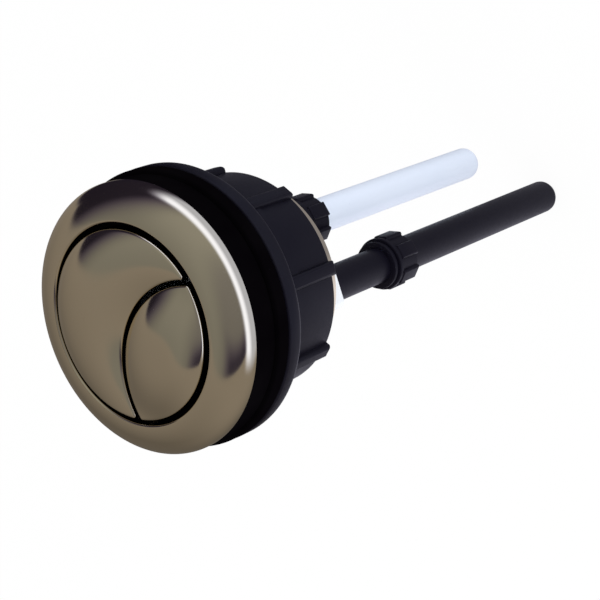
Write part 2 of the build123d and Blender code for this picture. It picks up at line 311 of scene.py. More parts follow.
def lathe(name, corners, steps=TURN_STEPS):
    """Turns a closed half section about Z: a loop of as many corners is laid on it and spun."""
    section = rounded(corners)
    deselect()
    bpy.ops.mesh.primitive_circle_add(vertices=len(section), radius=1, fill_type="NOTHING")
    piece = bpy.context.object
    piece.name = name
    for vertex, point in zip(piece.data.vertices, section):
        vertex.co = (point.x, 0, point.y)
    bpy.ops.object.mode_set(mode="EDIT")
    bpy.ops.mesh.select_all(action="SELECT")
    bpy.ops.mesh.spin(steps=steps, angle=math.tau, center=(0, 0, 0), axis=(0, 0, 1))
    clean(piece)
    return piece


def laid_grid(name, across, along, place):
    """Grid whose corners go where place(column, row) says."""
    deselect()
    bpy.ops.mesh.primitive_grid_add(x_subdivisions=across, y_subdivisions=along, size=1)
    piece = bpy.context.object
    piece.name = name
    for vertex in piece.data.vertices:
        column = round((vertex.co.x + 0.5) * across)
        row = round((vertex.co.y + 0.5) * along)
        vertex.co = place(column, row)
    clean(piece)
    return piece


def shift(piece, offset):
    """Moves a piece's mesh, so that its object stays at the origin."""
    piece.data.transform(Matrix.Translation(offset))


def turned_copy(piece, angle):
    """Copy of a piece, with its own mesh, turned about Z."""
    only(piece)
    bpy.ops.object.duplicate(linked=False)
    copy = bpy.context.object
    copy.data.transform(Matrix.Rotation(angle, 4, "Z"))
    return copy


def ring_of(piece, count, phase=0):
    """Copies of a piece, spread evenly round Z, which take its place."""
    copies = [turned_copy(piece, phase + math.tau * i / count) for i in range(count)]
    bpy.data.objects.remove(piece)
    return copies


def fuse(piece, tools, operation="UNION"):
    """Joins tools to a piece, or cuts them from it, and removes them."""
    for tool in tools:
        only(piece)
        bpy.ops.object.modifier_add(type="BOOLEAN")
        boolean = piece.modifiers[-1]
        boolean.operation = operation
        boolean.solver = "MANIFOLD"
        boolean.object = tool
        bpy.ops.object.modifier_apply(modifier=boolean.name)
        bpy.data.objects.remove(tool)


def plain_block(half_size, centre):
    """Box given by half its size and its middle."""
    deselect()
    bpy.ops.mesh.primitive_cube_add(size=2, location=centre)
    block = bpy.context.object
    block.scale = half_size
    bpy.ops.object.transform_apply(location=True, rotation=False, scale=True)
    return block


def outer_upright(place, along):
    """Picks the upright edges on a block's +X side."""
    return abs(along.z) > MOSTLY and place.x > 0


def rounded_block(name, half_size, centre, bevel, picked):
    """Box whose picked edges, chosen by the middle and direction of each, are rounded."""
    block = plain_block(half_size, centre)
    block.name = name
    bpy.ops.object.mode_set(mode="EDIT")
    bpy.ops.mesh.select_all(action="DESELECT")
    bpy.ops.object.mode_set(mode="OBJECT")
    mesh = block.data
    for edge in mesh.edges:
        a, b = (mesh.vertices[i].co for i in edge.vertices)
        edge.select = picked((a + b) / 2 - Vector(centre), (b - a).normalized())
    bpy.ops.object.mode_set(mode="EDIT")
    bpy.ops.mesh.select_mode(type="EDGE")
    bpy.ops.mesh.bevel(offset=bevel, segments=ROUND_STEPS, affect="EDGES")
    bpy.ops.mesh.select_mode(type="VERT")
    bpy.ops.object.mode_set(mode="OBJECT")
    return block


def coil(name, section, turns, bottom, rise):
    """Sweeps a closed section of (radius, height) points up a helix about Z and closes its ends."""
    rows = round(turns * COIL_STEPS)

    def place(column, row):
        radius, height = section[column % len(section)]
        angle = math.tau * turns * row / rows
        return radius * math.cos(angle), radius * math.sin(angle), bottom + height + rise * row / rows

    piece = laid_grid(name, len(section), rows, place)
    bpy.ops.object.mode_set(mode="EDIT")
    bpy.ops.mesh.select_all(action="SELECT")
    bpy.ops.mesh.fill_holes(sides=0)
    clean(piece)
    return piece


def cut_flat(piece, level, keep_above):
    """Cuts a piece off flat at a level and closes the cut."""
    only(piece)
    bpy.ops.object.mode_set(mode="EDIT")
    bpy.ops.mesh.select_all(action="SELECT")
    bpy.ops.mesh.bisect(
        plane_co=(0, 0, level), plane_no=(0, 0, 1), use_fill=True,
        clear_inner=keep_above, clear_outer=not keep_above)
    clean(piece)


def dress(piece, slot, body, replaced):
    """Gives a new piece its finish and its place in the frame, where it stands for a CAD node."""
    piece.data.name = piece.name
    piece.data.materials.clear()
    piece.data.materials.append(finish_of(slot))
    smooth(piece)
    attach(piece, body)
    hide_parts(replaced)


def new_group(name, inputs, outputs):
    """Empty shader node group with float sockets, and its ends."""
    group = bpy.data.node_groups.new(name, "ShaderNodeTree")
    for label, default in inputs:
        socket = group.interface.new_socket(label, in_out="INPUT", socket_type="NodeSocketFloat")
        socket.default_value = default
    for label in outputs:
        group.interface.new_socket(label, in_out="OUTPUT", socket_type="NodeSocketFloat")
    return group, group.nodes.new("NodeGroupInput"), group.nodes.new("NodeGroupOutput")


def group_node(tree, group, values):
    """Node that uses a group, with its inputs set in their order."""
    node = tree.nodes.new("ShaderNodeGroup")
    node.node_tree = group
    for socket, value in zip(node.inputs, values):
        socket.default_value = value
    return node


def feed(tree, socket, value):
    """Sets an input to a number or a colour, or links another node's output to it."""
    if isinstance(value, bpy.types.NodeSocket):
        tree.links.new(value, socket)
    elif isinstance(value, (int, float)):
        socket.default_value = value
    else:
        socket.default_value = (*value, 1)


def noise(tree, coordinates, scale, detail):
    """Noise texture on given coordinates."""
    texture = tree.nodes.new("ShaderNodeTexNoise")
    texture.inputs["Detail"].default_value = detail
    tree.links.new(coordinates, texture.inputs["Vector"])
    tree.links.new(scale, texture.inputs["Scale"])
    return texture.outputs["Fac"]


def ranged(tree, value, low_in, high_in, low_out, high_out, smooth_step=False):
    """Value mapped from one span to another; the ends of both are numbers or sockets."""
    node = tree.nodes.new("ShaderNodeMapRange")
    if smooth_step:
        node.interpolation_type = "SMOOTHSTEP"
    tree.links.new(value, node.inputs["Value"])
    labels = ("From Min", "From Max", "To Min", "To Max")
    for label, end in zip(labels, (low_in, high_in, low_out, high_out)):
        feed(tree, node.inputs[label], end)
    return node.outputs["Result"]


def sums(tree, operation, first, second):
    """Maths on two values, each a number or a socket."""
    node = tree.nodes.new("ShaderNodeMath")
    node.operation = operation
    feed(tree, node.inputs[0], first)
    feed(tree, node.inputs[1], second)
    return node.outputs[0]


def times(tree, first, second):
    """Product of two values, each a number or a socket."""
    return sums(tree, "MULTIPLY", first, second)


def mixed(tree, amount, first, second):
    """Mix of two colours, each given by its channels or a socket."""
    node = tree.nodes.new("ShaderNodeMix")
    node.data_type = "RGBA"
    feed(tree, node.inputs[MIX_AMOUNT], amount)
    feed(tree, node.inputs[MIX_FIRST], first)
    feed(tree, node.inputs[MIX_SECOND], second)
    return node.outputs[MIX_RESULT]


def surface_tone_group():
    """Cloudy and fine unevenness: a roughness, a tone from 0 to 1 and a height for bump."""
    group, ends_in, ends_out = new_group(
        "Surface tone",
        (("Cloud Scale", 60), ("Grain Scale", 1500), ("Roughness Low", 0.2), ("Roughness High", 0.3)),
        ("Roughness", "Tone", "Height"))
    place = group.nodes.new("ShaderNodeTexCoord").outputs["Object"]
    clouds = noise(group, place, ends_in.outputs["Cloud Scale"], CLOUD_DETAIL)
    grain = noise(group, place, ends_in.outputs["Grain Scale"], GRAIN_DETAIL)
    both = sums(group, "ADD", times(group, clouds, CLOUD_SHARE), times(group, grain, GRAIN_SHARE))
    smoothest, roughest = ends_in.outputs["Roughness Low"], ends_in.outputs["Roughness High"]
    group.links.new(ranged(group, both, *NOISE_SPAN, smoothest, roughest), ends_out.inputs["Roughness"])
    group.links.new(ranged(group, clouds, *NOISE_SPAN, 0, 1), ends_out.inputs["Tone"])
    group.links.new(grain, ends_out.inputs["Height"])
    return group


def recess_group():
    """Mask of the painted shade: 1 down in the gap between the caps' radius and the wall's, below a level
    for each, else 0.
    """
    labels = ("Cap Radius", "Wall Radius", "Cap Level", "Wall Level", "Blur")
    group, ends_in, ends_out = new_group("Recess", [(label, 0) for label in labels], ("Shade",))
    cap_r, wall_r, cap_z, wall_z, blur = (ends_in.outputs[label] for label in labels)
    parts = group.nodes.new("ShaderNodeSeparateXYZ")
    group.links.new(group.nodes.new("ShaderNodeTexCoord").outputs["Object"], parts.inputs[0])
    x, y, z = parts.outputs
    squared = sums(group, "ADD", times(group, x, x), times(group, y, y))
    across = sums(group, "POWER", squared, 1 / 2)
    level = ranged(group, across, cap_r, wall_r, cap_z, wall_z)
    below = ranged(group, z, level, sums(group, "SUBTRACT", level, blur), 0, 1)
    within = ranged(group, across, sums(group, "ADD", wall_r, blur), wall_r, 0, 1)
    over_lid = ranged(group, z, 0, blur, 0, 1)
    shade = times(group, times(group, below, within), over_lid)
    group.links.new(shade, ends_out.inputs["Shade"])
    return group


def paint_gap_shade(slot, base):
    """Paints shade down in the gap round the caps: below the lip the finish's colour gives way to a dark
    colour.
    """
    size = sizes()[0]
    tree = finish_of(slot).node_tree
    colour_in = tree.nodes["Principled BSDF"].inputs["Base Color"]
    opening, lip_z = opening_r(), lip_level()
    recess = group_node(tree, recess_group(), (
        opening - size.gap, opening, lip_z - size.cap_shade_depth, lip_z - size.wall_shade_depth, size.gap_shade_blur))
    plated = colour_in.links[0].from_socket
    tree.links.new(mixed(tree, recess.outputs["Shade"], plated, base), colour_in)


def new_finish(group, slot, base, metallic, cloud, grain, rough, lift, bump, specular=0.5):
    """Material with the shared unevenness: base is lifted towards white by the tone, bump is in metres."""
    material = bpy.data.materials.new(FINISH + slot)
    material.use_nodes = True
    tree = material.node_tree
    shader = tree.nodes["Principled BSDF"]
    shader.inputs["Metallic"].default_value = metallic
    shader.inputs["Specular IOR Level"].default_value = specular
    tone = group_node(tree, group, (cloud, grain, *rough))
    lifted = [channel + (1 - channel) * lift for channel in base]
    tree.links.new(mixed(tree, tone.outputs["Tone"], base, lifted), shader.inputs["Base Color"])
    tree.links.new(tone.outputs["Roughness"], shader.inputs["Roughness"])
    relief = tree.nodes.new("ShaderNodeBump")
    relief.inputs["Strength"].default_value = 1
    relief.inputs["Distance"].default_value = bump
    tree.links.new(tone.outputs["Height"], relief.inputs["Height"])
    tree.links.new(relief.outputs["Normal"], shader.inputs["Normal"])


def make_finishes():
    """Every material of the button."""
    paint = bpy.context.scene.button_colours
    group = surface_tone_group()
    new_finish(group, "champagne_plating", paint.plating, metallic=1, cloud=45, grain=2500,
               rough=(0.08, 0.12), lift=0.02, bump=0.0000015)
    # Painted shade: the plating darkens down in the gap round the caps
    paint_gap_shade("champagne_plating", paint.base)
    new_finish(group, "black_rubber", paint.rubber, metallic=0, cloud=90, grain=1800,
               rough=(0.5, 0.7), lift=0.001, bump=0.00001, specular=0)
    new_finish(group, "black_plastic", paint.black, metallic=0, cloud=70, grain=1400,
               rough=(0.34, 0.5), lift=0.003, bump=0.000008, specular=0.12)
    new_finish(group, "white_plastic", paint.white, metallic=0, cloud=70, grain=1400,
               rough=(0.3, 0.42), lift=0.05, bump=0.000006)
    new_finish(group, "white_rod", paint.rod, metallic=0, cloud=55, grain=1200,
               rough=(0.26, 0.36), lift=0.05, bump=0.000004)
    new_finish(group, "spring_steel", paint.steel, metallic=1, cloud=200, grain=3000,
               rough=(0.22, 0.34), lift=0.03, bump=0.000002)


def finish_of(slot):
    """Material of a slot, with all of them made the first time."""
    if FINISH + slot not in bpy.data.materials:
        make_finishes()
    return bpy.data.materials[FINISH + slot]


class BUTTON_OT_bezel(bpy.types.Operator):
    """Turn the domed bezel with its barrel and wind the thread round it"""
    bl_idname = "button.bezel"
    bl_label = "Bezel and barrel"

    def execute(self, context):
        size = sizes()[0]
        rim_z = high("upper_washer").z
        band_z = rim_z + size.band_h
        lip_z = lip_level()
        end_z = low("bezel_body").z
        seat_z = high("guide_insert").z
        opening, barrel = opening_r(), barrel_r()
        bore = opening - size.bore_step
        root = barrel - size.thread_depth
        turns = [math.pi / 2 * i / DOME_STEPS for i in range(DOME_STEPS)]
        dome = [(opening + size.face_w * math.cos(turn), band_z + size.dome_rise * math.sin(turn))
                for turn in turns]
        ledge_z, seat_top, seat_in = lip_z - size.ledge_drop, seat_z + size.seat_h, bore - size.seat_w
        core_in, core_out = barrel + size.core_inset, size.bezel_r - size.core_inset
        core_z = rim_z + size.core_depth
        sunk = root - size.end_r
        bezel = lathe("bezel", [
            *dome, (opening, lip_z, size.lip_r), (opening, ledge_z), (bore, ledge_z),
            (bore, seat_top), (seat_in, seat_top), (seat_in, seat_z), (bore, seat_z),
            (bore, end_z), (sunk, end_z), (root, end_z + size.end_r), (root, 0), (barrel, 0),
            (barrel, rim_z), (core_in, rim_z), (core_in, core_z), (core_out, core_z), (core_out, rim_z),
            (size.bezel_r, rim_z)])
        top = root + size.thread_depth
        foot, land = size.thread_root_w / 2, size.thread_land_w / 2
        start = end_z + size.end_r + foot
        rise = -size.thread_root_w - start
        profile = [(sunk, -foot), (top, -land), (top, land), (sunk, foot)]
        fuse(bezel, [coil("thread", profile, rise / size.thread_pitch, start, rise)])
        dress(bezel, "champagne_plating", "housing", "bezel_body")
        return {"FINISHED"}


class CapPlan:
    """Plan of a cap: two arcs that meet in rounded tips, and loops at any inset from them."""
    ARC_STEPS = 84
    TIP_STEPS = 6

    def __init__(self, opening, gap, tip_r, is_lens):
        self.outer_r = opening - gap
        self.divider_x = -(opening + self.outer_r) / 2
        self.inner_r = self.outer_r if is_lens else opening
        self.tip_r = tip_r
        self.is_lens = is_lens
        self.middle_x = self.divider_x / 2 if is_lens else -self.divider_x / 2

    def half_width(self):
        """Inset at which the loops shrink to a point."""
        return self.outer_r - abs(self.middle_x)

    def room(self, x, y):
        """Zero along the outline and more towards the middle."""
        inside_outer = self.outer_r ** 2 - x ** 2 - y ** 2
        inside_inner = self.inner_r ** 2 - (x - self.divider_x) ** 2 - y ** 2
        return inside_outer * (inside_inner if self.is_lens else -inside_inner)

    def fullness(self, x, y):
        """Room as a share of that in the middle."""
        return self.room(x, y) / self.room(self.middle_x, 0)

    def loop(self, inset):
        """Points round the outline, an inset in from it."""
        corner = max(inset, self.tip_r)
        outer = self.outer_r - corner
        inner = self.inner_r - corner if self.is_lens else self.inner_r + corner
        tip_x = (self.divider_x ** 2 + outer ** 2 - inner ** 2) / (2 * self.divider_x)
        tip_y = math.sqrt(max(outer ** 2 - tip_x ** 2, 0))
        seen_outer = math.atan2(tip_y, tip_x)
        seen_inner = math.atan2(tip_y, tip_x - self.divider_x)
        tip_r = corner - inset
        outer += tip_r
        if self.is_lens:
            inner += tip_r
            far_outer, far_inner = math.tau - seen_outer, math.tau - seen_inner
            runs = [((0, 0), outer, seen_outer, far_outer, self.ARC_STEPS),
                    ((tip_x, -tip_y), tip_r, far_outer, far_inner, self.TIP_STEPS),
                    ((self.divider_x, 0), inner, -seen_inner, seen_inner, self.ARC_STEPS),
                    ((tip_x, tip_y), tip_r, seen_inner, seen_outer, self.TIP_STEPS)]
        else:
            inner -= tip_r
            runs = [((0, 0), outer, -seen_outer, seen_outer, self.ARC_STEPS),
                    ((tip_x, tip_y), tip_r, seen_outer, seen_inner + math.pi, self.TIP_STEPS),
                    ((self.divider_x, 0), inner, seen_inner, -seen_inner, self.ARC_STEPS),
                    ((tip_x, -tip_y), tip_r, math.pi - seen_inner, math.tau - seen_outer, self.TIP_STEPS)]
        points = []
        for (x, y), radius, start, end, steps in runs:
            for i in range(steps):
                angle = start + (end - start) * i / steps
                points.append((x + radius * math.cos(angle), y + radius * math.sin(angle)))
        return points


class BUTTON_OT_caps(bpy.types.Operator):
    """Lay the cushioned crescent and lens caps into the bezel's opening"""
    bl_idname = "button.caps"
    bl_label = "Crescent and lens caps"
    TOP_RINGS = 26
    EDGE_RINGS = 6

    def execute(self, context):
        for side in SIDES:
            self.cap(side)
        return {"FINISHED"}

    def cap(self, side):
        """One cap: loops from the middle of its top over the edge, down and back in under its roof."""
        size = sizes()[0]
        is_lens = side == "half_flush"
        rise = size.half_rise if is_lens else size.full_rise
        swell = size.half_swell if is_lens else size.full_swell
        plan = CapPlan(opening_r(), size.gap, size.cap_tip_r, is_lens)
        lip_z = lip_level()
        edge_z, skirt_z, roof_z = lip_z + size.proud, lip_z - size.cap_side_h, lip_z - size.cap_roof
        edge_r, middle = size.cap_edge_r, plan.half_width()
        insets = [middle + (edge_r - middle) * i / self.TOP_RINGS for i in range(self.TOP_RINGS)]
        turns = [math.pi / 2 * i / self.EDGE_RINGS for i in range(self.EDGE_RINGS + 1)]
        insets += [edge_r * (1 - math.sin(turn)) for turn in turns]
        under = [(0, skirt_z), (size.cap_wall, skirt_z), (size.cap_wall, roof_z), (middle, roof_z)]
        loops = [plan.loop(inset) for inset in insets] + [plan.loop(inset) for inset, level in under]

        def place(column, row):
            x, y = loops[row][column % len(loops[row])]
            if row >= len(insets):
                return x, y, under[row - len(insets)][1]
            short = max(edge_r - insets[row], 0)
            dropped = edge_r - math.sqrt(edge_r ** 2 - short ** 2)
            full = plan.fullness(x, y)
            return x, y, edge_z + rise * full * (1 + swell - swell * full) - dropped

        cap = laid_grid(side + "_button_cap", len(loops[0]), len(loops) - 1, place)
        stud_r = radius_of(side + "_push_rod")
        stud = lathe("stud", [(0, roof_z - size.stud_l), (stud_r, roof_z - size.stud_l, edge_r),
                              (stud_r, roof_z + size.proud), (0, roof_z + size.proud)])
        shift(stud, (plan.middle_x, 0, 0))
        fuse(cap, [stud])
        dress(cap, "champagne_plating", side + "_button", side + "_cap")


class BUTTON_OT_washers(bpy.types.Operator):
    """Turn the two rubber washers that hold the cistern lid between them"""
    bl_idname = "button.washers"
    bl_label = "Rubber washers"

    def execute(self, context):
        fixing = sizes()[1]
        for node, body, fit in (("upper_washer", "housing", fixing.upper_washer_fit),
                                ("lower_washer", "clamp_ring", fixing.lower_washer_fit)):
            bottom, top, outer = low(node).z, high(node).z, high(node).x
            bore, edge_r = barrel_r() + fit, fixing.washer_edge_r
            ring = lathe(node.replace("washer", "rubber_washer"), [
                (bore, bottom), (outer, bottom, edge_r), (outer, top, edge_r), (bore, top)])
            dress(ring, "black_rubber", body, node)
        return {"FINISHED"}


class BUTTON_OT_fixing_nut(bpy.types.Operator):
    """Turn the flanged nut and set its grip ribs round it"""
    bl_idname = "button.fixing_nut"
    bl_label = "Fixing nut"

    def execute(self, context):
        fixing = sizes()[1]
        top, bottom, flange = high("fixing_nut").z, low("fixing_nut").z, high("fixing_nut").x
        bore = barrel_r() + fixing.nut_fit
        panel = bore + fixing.nut_wall
        shoulder = panel + fixing.shoulder_step
        flange_z = top - fixing.flange_t
        shoulder_z = flange_z - fixing.shoulder_h
        nut = lathe("ribbed_nut", [
            (bore, top), (flange, top, fixing.flange_edge_r), (flange, flange_z, fixing.flange_back_r),
            (shoulder, flange_z, fixing.cove_r), (shoulder, shoulder_z), (panel, shoulder_z),
            (panel, bottom, fixing.flange_edge_r), (bore, bottom, fixing.flange_edge_r)])
        inner = panel - fixing.nut_wall / 2
        crest = panel + fixing.rib_h
        centre = ((inner + crest) / 2, 0, (flange_z + bottom) / 2)
        half = ((crest - inner) / 2, fixing.rib_w / 2, (flange_z - bottom) / 2)

        def on_crest(place, along):
            below = abs(along.y) > MOSTLY and place.x > 0 and place.z < 0
            return outer_upright(place, along) or below

        rib = rounded_block("rib", half, centre, fixing.rib_tip_r, on_crest)
        fuse(nut, ring_of(rib, fixing.rib_count, fixing.rib_phase))
        dress(nut, "black_plastic", "nut", "fixing_nut")
        return {"FINISHED"}


class BUTTON_OT_push_rods(bpy.types.Operator):
    """Turn the two push rods with their rounded tips"""
    bl_idname = "button.push_rods"
    bl_label = "Push rods"

    def execute(self, context):
        fixing = sizes()[1]
        for side, slot in zip(SIDES, ("white_rod", "black_plastic")):
            node = side + "_push_rod"
            bottom, top, radius = low(node).z, high(node).z, radius_of(node)
            rod = lathe(side + "_rod", [
                (0, bottom), (radius, bottom, fixing.rod_tip_r), (radius, top - fixing.rod_chamfer),
                (radius - fixing.rod_chamfer, top), (0, top)], SMALL_TURN_STEPS)
            shift(rod, (middle_x(node), 0, 0))
            dress(rod, slot, side + "_rod", node)
        return {"FINISHED"}


class BUTTON_OT_lock_pieces(bpy.types.Operator):
    """Turn the slotted lock collars and the lugged lock nuts that clamp them to the rods"""
    bl_idname = "button.lock_pieces"
    bl_label = "Lock collars and nuts"

    def execute(self, context):
        for side in SIDES:
            self.collar(side)
            self.lock_nut(side)
        return {"FINISHED"}

    def radii(self, side):
        """Radius of a rod, and of its collar's neck."""
        fixing = sizes()[1]
        rod = radius_of(side + "_push_rod")
        return rod, rod + fixing.neck_fit + fixing.neck_wall

    def collar(self, side):
        """Collar with its neck cut by two crossing slots."""
        fixing = sizes()[1]
        node = side + "_lock_collar"
        bottom, top, outer = low(node).z, high(node).z, radius_of(node)
        rod, neck = self.radii(side)
        bore = rod + fixing.neck_fit
        shoulder_z = top - fixing.collar_h
        collar = lathe(side + "_rod_collar", [
            (bore, bottom), (neck, bottom), (neck, shoulder_z), (outer, shoulder_z, fixing.collar_edge_r),
            (outer, top, fixing.collar_edge_r), (bore, top)], SMALL_TURN_STEPS)
        depth = shoulder_z - bottom - fixing.slot_w
        halves = ((outer, fixing.slot_w / 2, depth), (fixing.slot_w / 2, outer, depth))
        fuse(collar, [plain_block(half, (0, 0, bottom)) for half in halves], "DIFFERENCE")
        shift(collar, (middle_x(node), 0, 0))
        dress(collar, "black_plastic", side + "_rod", node)

    def lock_nut(self, side):
        """Lock nut with a front ring and lugs behind it."""
        fixing = sizes()[1]
        node = side + "_lock_nut"
        bottom, top = low(node).z, high(node).z
        bore = self.radii(side)[1] + fixing.lock_fit
        wall = bore + fixing.lock_wall
        ring = wall + fixing.lock_ring_step
        ring_z = top - fixing.lock_ring_h
        nut = lathe(side + "_rod_nut", [
            (bore, bottom), (wall, bottom), (wall, ring_z), (ring, ring_z),
            (ring, top, fixing.lug_edge_r), (bore, top)], SMALL_TURN_STEPS)
        inner, crest = bore + fixing.lock_wall / 2, wall + fixing.lug_h
        centre = ((inner + crest) / 2, 0, (bottom + ring_z) / 2)
        half = ((crest - inner) / 2, fixing.lug_w / 2, (ring_z - bottom) / 2)
        lug = rounded_block("lug", half, centre, fixing.lug_edge_r, outer_upright)
        fuse(nut, ring_of(lug, fixing.lug_count))
        shift(nut, (middle_x(node), 0, 0))
        dress(nut, "black_plastic", side + "_lock", node)


class BUTTON_OT_springs(bpy.types.Operator):
    """Wind the return springs"""
    bl_idname = "button.springs"
    bl_label = "Return springs"
    WIRE_SIDES = 14

    def execute(self, context):
        fixing = sizes()[1]
        for side in SIDES:
            node = side + "_return_spring"
            bottom, top = low(node).z, high(node).z
            wire = fixing.wire_d / 2
            mean = radius_of(node) - wire
            turns = [math.tau * i / self.WIRE_SIDES for i in range(self.WIRE_SIDES)]
            section = [(mean + wire * math.cos(turn), wire * math.sin(turn)) for turn in turns]
            spring = coil(side + "_spring", section, fixing.turns, bottom, top - bottom)
            cut_flat(spring, bottom, True)
            cut_flat(spring, top, False)
            shift(spring, (middle_x(node), 0, 0))
            dress(spring, "spring_steel", "housing", node)
            middle_x(node)
            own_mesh(spring)
        return {"FINISHED"}


class BUTTON_OT_inner_parts(bpy.types.Operator):
    """Finish the plungers, their guide and their clips, which keep their CAD shapes"""
    bl_idname = "button.inner_parts"
    bl_label = "Plungers, guide and clips"

    def execute(self, context):
        slots = {"guide_insert": "white_plastic"}
        for side in SIDES:
            slots[side + "_plunger"] = "white_plastic"
            slots[side + "_retaining_clip"] = "spring_steel"
        for node, slot in slots.items():
            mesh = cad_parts[node].data
            mesh.materials.clear()
            mesh.materials.append(finish_of(slot))
        return {"FINISHED"}


class BUTTON_OT_stage(bpy.types.Operator):
    """Set up the pale floor, the soft light and the camera"""
    bl_idname = "button.stage"
    bl_label = "Floor, light and camera"
    FLOOR_SIZE = 6
    FLOOR_COLOUR = (0.9, 0.9, 0.9, 1)
    FLOOR_SHADE = 0.06
    CAMERA_PLACE = (-0.1592, -0.1920, 0.2380)
    CAMERA_RIGHT = (-0.72618, -0.30778, -0.61476)
    CAMERA_UP = (0.55411, -0.79134, -0.25834)
    # Lens and sensor are in millimetres
    LENS = 96
    SENSOR = 36
    CLIP_START = 0.01
    # Name, direction, distance, size and power of each lamp
    LAMPS = (
        ("side_lamp", (-0.75, 0.45, 0.45), 0.7, 0.5, 1.4),
        ("front_lamp", (-0.65, -0.70, 0.30), 0.7, 0.5, 1.0),
    )
    AMBIENT = 0.95
    TENT_R = 2
    TENT_STEPS = 96
    TENT_LIFT = 0.0005
    # Directions seen from the middle of the tent: across its straight edge, along that edge, to the window
    # and to the floor's lit side
    ACROSS_EDGE = (-0.132, 0.848, 0)
    ALONG_EDGE = (0.920, -0.042, -0.389)
    TO_WINDOW = (-0.42, -0.906, 0)
    TO_LIT_FLOOR = (-0.5, 0.866, 0)
    # How far the edge leans as it climbs, and the height from which it does
    EDGE_LEAN = -0.515
    LEAN_FROM = 0.15
    # Tones before the edge, past it, in its shade, of the window and of the floor
    TONE_NEAR = (0.25, 0.222, 0.2)
    TONE_FAR = (0.20, 0.198, 0.188)
    TONE_SHADE = (0.24, 0.19, 0.36)
    TONE_WINDOW = (0.92, 1.0, 1.32)
    TONE_FLOOR = (0.95, 0.93, 1.1)
    # Where a feature starts and where it is full, and how much of it there is if not all
    EDGE_SPAN = (0.005, -0.05)
    RIGHT_SHADE = (0.12, 0.62, 0.94)
    LEFT_SHADE = (-0.15, -0.65, 0.3)
    CORNER_SHADE = (-0.4, -0.75, 0.55)
    CORNER_SPAN = (-0.4, -0.1)
    FADE_SPAN = (-0.9, 0)
    WINDOW_HEIGHT = (0.42, 0.12)
    WINDOW_SPAN = (0.15, 0.5)
    FLOOR_HEIGHT = (-0.705, -0.735)
    # A span and the levels at its two ends
    FADE_LEVELS = (0, 0.6, 0, 0.48)
    CLIMB_LEVELS = (0, -1, 1, 1.45)
    WINDOW_LEVELS = (-0.02, -0.3, 1.2, 0.55)
    FLOOR_LEVELS = (-0.2, 0.35, 0.28, 0.95)

    def execute(self, context):
        context.scene.view_settings.view_transform = "Standard"
        context.scene.cycles.caustics_reflective = False
        self.floor()
        self.camera(context)
        self.lamps()
        self.world(context)
        self.tent()
        return {"FINISHED"}

    def shown_rays(self, tree):
        """1 for the rays that show the background itself: straight, mirrored or through glass."""
        path = tree.nodes.new("ShaderNodeLightPath")
        straight = sums(tree, "MAXIMUM", path.outputs["Is Camera Ray"], path.outputs["Is Glossy Ray"])
        return sums(tree, "MAXIMUM", straight, path.outputs["Is Transmission Ray"])

    def floor(self):
        """White floor that keeps a little of the object's shadow."""
        deselect()
        bpy.ops.mesh.primitive_plane_add(size=self.FLOOR_SIZE, location=(0, 0, cad_low.z))
        floor = bpy.context.object
        floor.name = "floor"
        material = bpy.data.materials.new("pale_floor")
        material.use_nodes = True
        tree = material.node_tree
        tree.nodes.clear()
        paint = tree.nodes.new("ShaderNodeBsdfDiffuse")
        paint.inputs["Color"].default_value = self.FLOOR_COLOUR
        glow = tree.nodes.new("ShaderNodeEmission")
        mix = tree.nodes.new("ShaderNodeMixShader")
        tree.links.new(times(tree, self.shown_rays(tree), 1 - self.FLOOR_SHADE), mix.inputs[0])
        tree.links.new(paint.outputs[0], mix.inputs[1])
        tree.links.new(glow.outputs[0], mix.inputs[2])
        tree.links.new(mix.outputs[0], tree.nodes.new("ShaderNodeOutputMaterial").inputs["Surface"])
        material.cycles.emission_sampling = "NONE"
        floor.data.materials.append(material)

    def camera(self, context):
        """Camera at the photograph's place and angle."""
        deselect()
        bpy.ops.object.camera_add()
        camera = context.object
        right, up = Vector(self.CAMERA_RIGHT), Vector(self.CAMERA_UP)
        turn = Matrix((right, up, right.cross(up))).transposed().to_4x4()
        camera.matrix_world = Matrix.Translation(self.CAMERA_PLACE) @ turn
        camera.data.lens = self.LENS
        camera.data.sensor_width = self.SENSOR
        camera.data.clip_start = self.CLIP_START
        context.scene.camera = camera

    def lamps(self):
        """Soft area lamps that gloss doesn't show."""
        for name, toward, distance, size, power in self.LAMPS:
            deselect()
            place = Vector(toward).normalized() * distance
            bpy.ops.object.light_add(type="AREA", location=place)
            lamp = bpy.context.object
            lamp.name = name
            lamp.rotation_euler = place.to_track_quat("Z", "Y").to_euler()
            lamp.data.shape = "SQUARE"
            lamp.data.size = size
            lamp.data.energy = power
            lamp.visible_glossy = False

    def world(self, context):
        """White where the background shows, and a plain level to matt surfaces."""
        world = bpy.data.worlds.new("studio")
        context.scene.world = world
        world.use_nodes = True
        world.cycles.sampling_method = "NONE"
        tree = world.node_tree
        tree.nodes.clear()
        background = tree.nodes.new("ShaderNodeBackground")
        level = ranged(tree, self.shown_rays(tree), 0, 1, self.AMBIENT, 1)
        tree.links.new(level, background.inputs["Strength"])
        background.inputs["Color"].default_value = (1, 1, 1, 1)
        tree.links.new(background.outputs[0], tree.nodes.new("ShaderNodeOutputWorld").inputs["Surface"])

    def tent(self):
        """Closed grey tent just over the floor, which only gloss shows: its glow is a painted reflection of
        a room.
        """
        deselect()
        bpy.ops.mesh.primitive_uv_sphere_add(
            segments=self.TENT_STEPS, ring_count=self.TENT_STEPS // 2, radius=self.TENT_R)
        tent = bpy.context.object
        tent.name = "tent"
        cut_flat(tent, cad_low.z + self.TENT_LIFT, True)
        tent.visible_camera = False
        tent.visible_diffuse = False
        tent.visible_transmission = False
        tent.visible_shadow = False
        material = bpy.data.materials.new("grey_tent")
        material.use_nodes = True
        material.cycles.emission_sampling = "NONE"
        self.tent_glow(material.node_tree)
        tent.data.materials.append(material)

